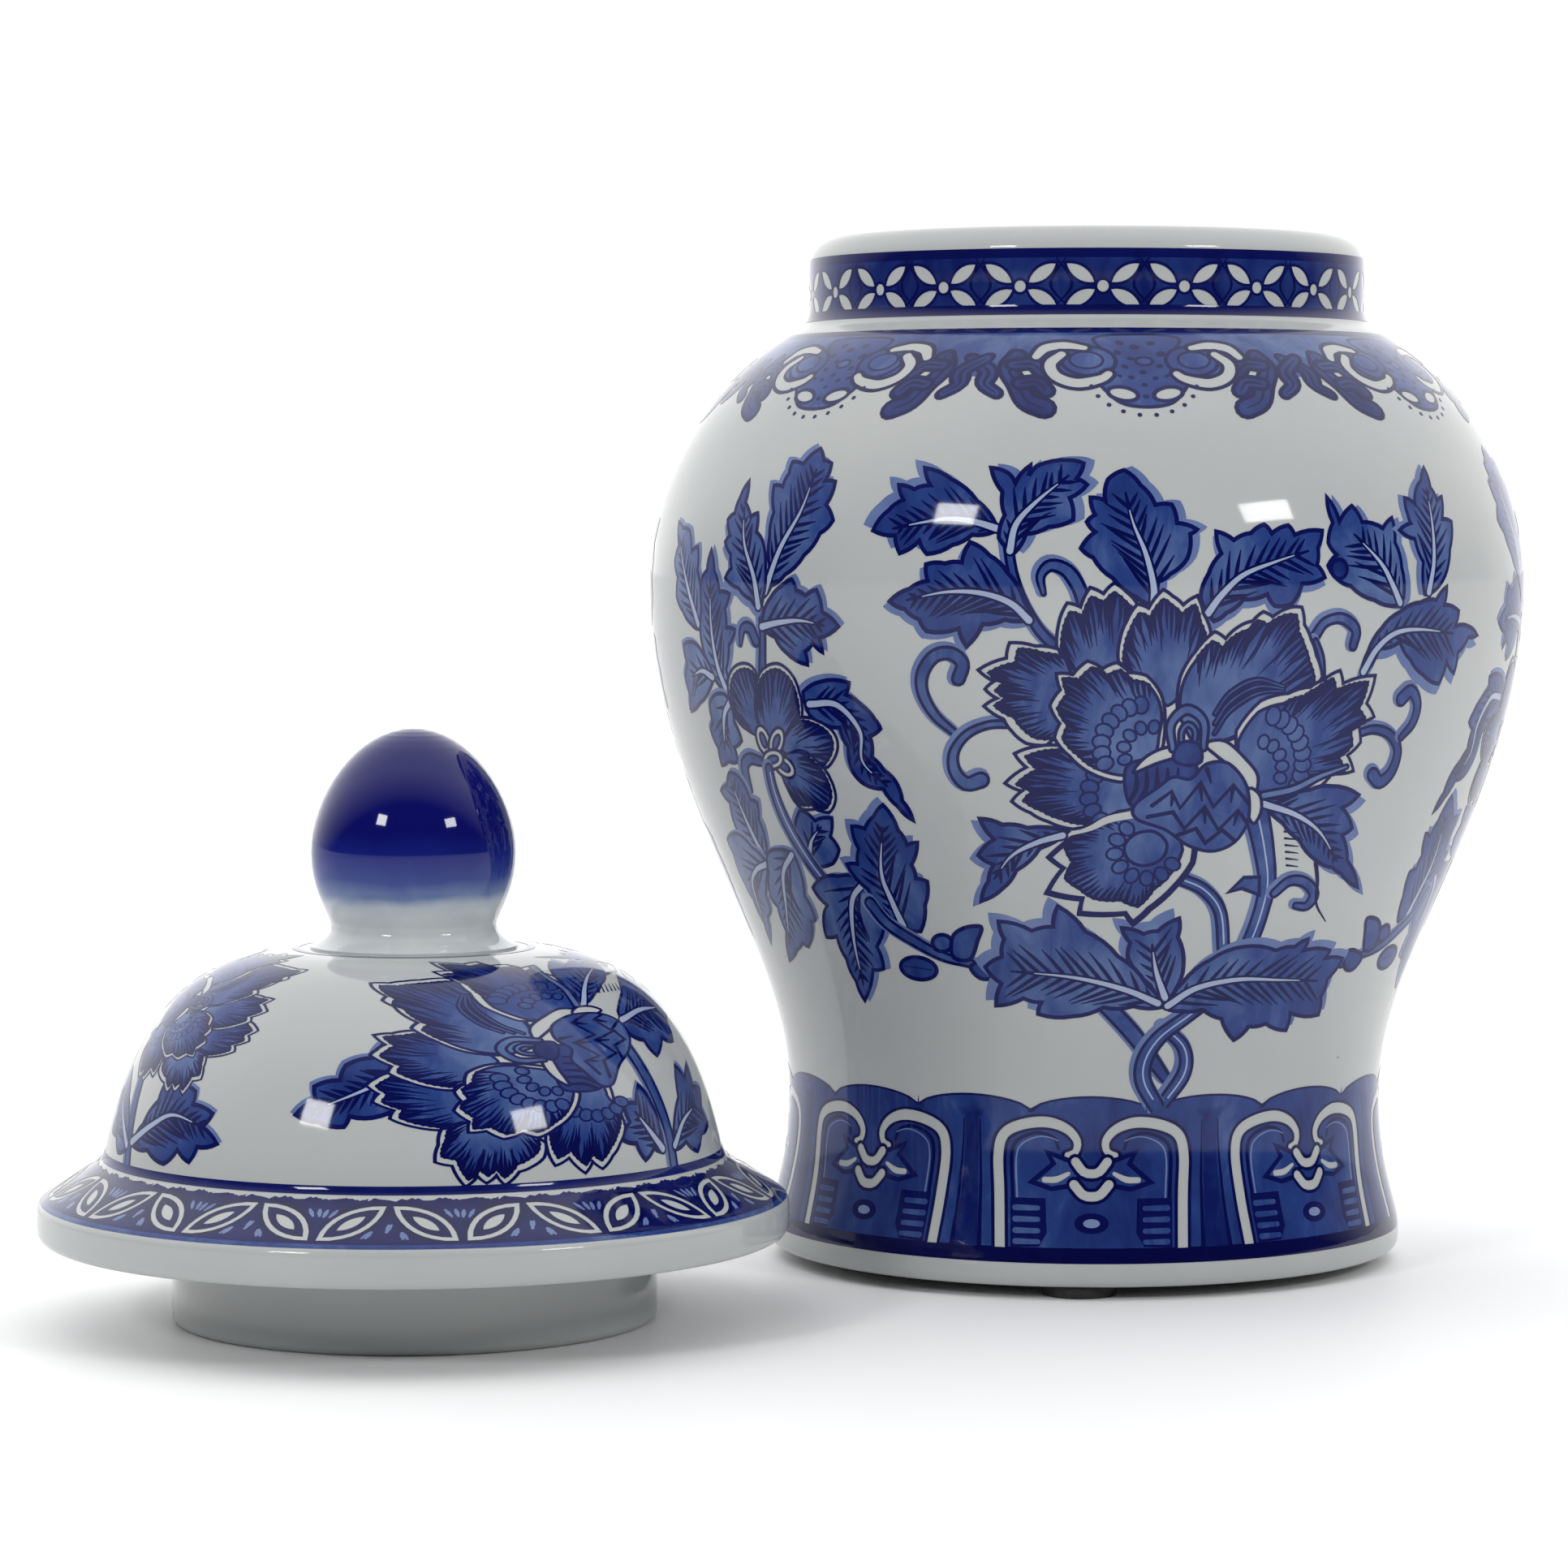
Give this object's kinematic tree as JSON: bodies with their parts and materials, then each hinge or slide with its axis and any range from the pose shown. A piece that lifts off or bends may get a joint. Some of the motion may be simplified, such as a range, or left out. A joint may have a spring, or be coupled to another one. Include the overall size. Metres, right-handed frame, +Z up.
{
  "type": "ginger jar",
  "caption": "Round-bellied glazed porcelain ginger jar with a flanged, domed lift-off lid that stands beside it on its own locating collar.",
  "frame": {"origin": "on the table, at the centre of the jar's foot, on the jar's own axis", "axes": "+Z up along the jar's axis, -Y towards the front of the jar, +X to the right of someone who faces the front"},
  "size_m": [0.3018, 0.2507, 0.2154],
  "materials": {
    "jar_porcelain": "high gloss clear glaze over blue underglaze painting on white",
    "lid_porcelain": "high gloss clear glaze over blue underglaze painting on white",
    "knob_cobalt": "high gloss cobalt wash fading to white at its foot",
    "pad_rubber": "matt black"
  },
  "bodies": {
    "jar": {"jar_body": "jar_porcelain", "foot_pad_1": "pad_rubber", "foot_pad_2": "pad_rubber", "foot_pad_3": "pad_rubber"},
    "lid": {"lid_shell": "lid_porcelain", "lid_knob": "knob_cobalt"}
  },
  "joints": [
    {"name": "lid_lift", "type": "slide", "parent": "jar", "child": "lid", "axis": [-0.1327, -0.0829, 0.9877], "range_m": [0, 0.26]}
  ]
}
